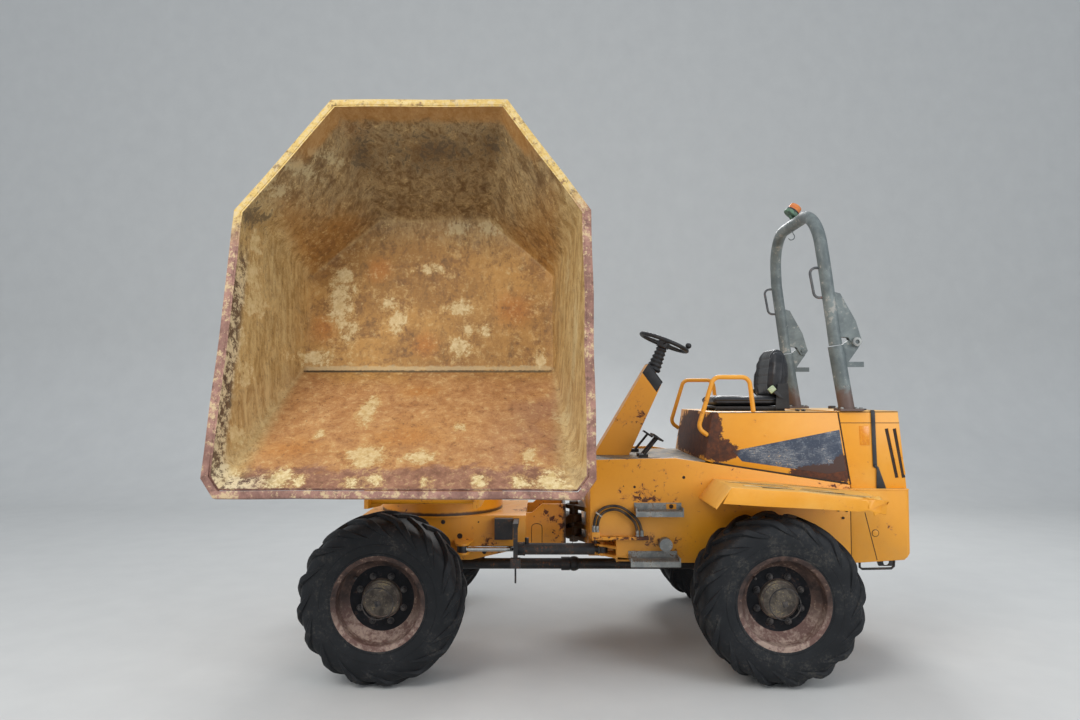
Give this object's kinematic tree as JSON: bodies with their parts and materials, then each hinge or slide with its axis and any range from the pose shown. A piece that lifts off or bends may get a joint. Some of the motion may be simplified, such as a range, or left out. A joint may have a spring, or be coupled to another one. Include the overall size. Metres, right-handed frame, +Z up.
{
  "type": "articulated site dumper with a swivel skip",
  "caption": "Articulated site dumper: a swivel skip tipped to the left, an open driving place with a folding roll-over hoop, and large lugged tyres.",
  "frame": {"origin": "on the ground under the articulation pin, half way between the axles", "axes": "+X forward, +Y to the driver's left, +Z up"},
  "size_m": [4.215, 2.8456, 3.4541],
  "materials": {
    "paint": "faded orange-yellow paint, chipped and rust-stained",
    "hoop_paint": "grey-green paint, worn",
    "skip_inside": "worn yellow paint over rust and dried earth",
    "dark_steel": "black paint and grease",
    "galvanised": "dull galvanised sheet",
    "chrome": "hard chrome rod",
    "tyre": "worn black tyre with dust",
    "rim": "rusty grey-mauve rim with traces of cream paint",
    "seat": "black vinyl seat",
    "black_plastic": "black plastic",
    "hose": "dusty black rubber hose",
    "cast": "rust-brown castings",
    "amber": "amber lens"
  },
  "bodies": {
    "rear_chassis": {"rear_frame": "paint", "footplate": "galvanised", "rear_axle": "cast", "rear_propshaft": "dark_steel", "engine_block": "cast", "engine_cover": "paint", "tail_cover": "paint", "counterweight": "paint", "fender_left": "paint", "fender_right": "paint", "steps": "galvanised", "steering_column": "paint", "steering_wheel": "black_plastic", "pedals": "dark_steel", "seat_base": "dark_steel", "seat_cushion": "seat", "seat_back": "seat", "handrails": "paint", "rops_posts": "hoop_paint", "rear_hitch": "dark_steel", "lashing_plates": "dark_steel", "hose_outer": "hose", "hose_inner": "hose"},
    "front_chassis": {"front_frame": "paint", "front_axle": "cast", "front_propshaft": "dark_steel", "slew_ring": "dark_steel", "lock_bar": "dark_steel", "valve_box": "dark_steel"},
    "turntable": {"turntable_frame": "paint"},
    "skip": {"skip_floor": "skip_inside", "skip_front": "skip_inside", "skip_left": "skip_inside", "skip_right": "skip_inside", "skip_rear": "skip_inside", "skip_rim": "skip_inside", "skip_subframe": "paint"},
    "hoop": {"hoop": "hoop_paint", "grab_handles": "hoop_paint", "beacon": "amber"},
    "steer_barrel": {"steer_barrel": "dark_steel"},
    "steer_rod": {"steer_rod": "chrome"},
    "tip_barrel": {"tip_barrel": "dark_steel"},
    "tip_rod": {"tip_rod": "chrome"},
    "wheel_front_left": {"tyre_front_left": "tyre", "rim_front_left": "rim"},
    "wheel_front_right": {"tyre_front_right": "tyre", "rim_front_right": "rim"},
    "wheel_rear_left": {"tyre_rear_left": "tyre", "rim_rear_left": "rim"},
    "wheel_rear_right": {"tyre_rear_right": "tyre", "rim_rear_right": "rim"}
  },
  "joints": [
    {"name": "steer", "type": "hinge", "parent": "rear_chassis", "child": "front_chassis", "pos_m": [0, 0, 0.8], "axis": [0, 0, 1], "range_deg": [-25, 25]},
    {"name": "swivel", "type": "hinge", "parent": "front_chassis", "child": "turntable", "pos_m": [0.95, 0, 1.0125], "axis": [0, 0, 1], "range_deg": [-180, 0]},
    {"name": "tip", "type": "hinge", "parent": "turntable", "child": "skip", "pos_m": [0.95, 0.969, 1.222], "axis": [-1, 0, 0], "range_deg": [-75.9, 0]},
    {"name": "tip_barrel_swing", "type": "hinge", "parent": "turntable", "child": "tip_barrel", "pos_m": [0.95, -0.2, 0.88], "axis": [-1, 0, 0], "range_deg": [-0.5, 11.61]},
    {"name": "tip_rod_slide", "type": "slide", "parent": "tip_barrel", "child": "tip_rod", "axis": [0, 0.8441, 0.5363], "range_m": [-0.3807, 0.002]},
    {"name": "steer_barrel_swing", "type": "hinge", "parent": "rear_chassis", "child": "steer_barrel", "pos_m": [-0.17, 0.5, 0.705], "axis": [0, 0, 1], "range_deg": [-22, 22]},
    {"name": "steer_rod_slide", "type": "slide", "parent": "steer_barrel", "child": "steer_rod", "axis": [1, 0, 0], "range_m": [-0.22, 0.22]},
    {"name": "hoop_fold", "type": "hinge", "parent": "rear_chassis", "child": "hoop", "pos_m": [-1.851, 0, 2.071], "axis": [0, -1, 0], "range_deg": [0, 110]},
    {"name": "wheel_front_left_spin", "type": "hinge", "parent": "front_chassis", "child": "wheel_front_left", "pos_m": [1.19, 0.8875, 0.5], "axis": [0, 1, 0], "continuous": true},
    {"name": "wheel_front_right_spin", "type": "hinge", "parent": "front_chassis", "child": "wheel_front_right", "pos_m": [1.19, -0.8875, 0.5], "axis": [0, 1, 0], "continuous": true},
    {"name": "wheel_rear_left_spin", "type": "hinge", "parent": "rear_chassis", "child": "wheel_rear_left", "pos_m": [-1.19, 0.8875, 0.5], "axis": [0, 1, 0], "continuous": true},
    {"name": "wheel_rear_right_spin", "type": "hinge", "parent": "rear_chassis", "child": "wheel_rear_right", "pos_m": [-1.19, -0.8875, 0.5], "axis": [0, 1, 0], "continuous": true}
  ],
  "couplings": [
    {"joint": "steer_barrel_swing", "follows": "steer", "ratio": 0.83835},
    {"joint": "steer_rod_slide", "follows": "steer", "m_per_rad": -0.49095},
    {"joint": "tip_barrel_swing", "follows": "tip", "ratio": -0.14639},
    {"joint": "tip_rod_slide", "follows": "tip", "m_per_rad": 0.28591}
  ]
}
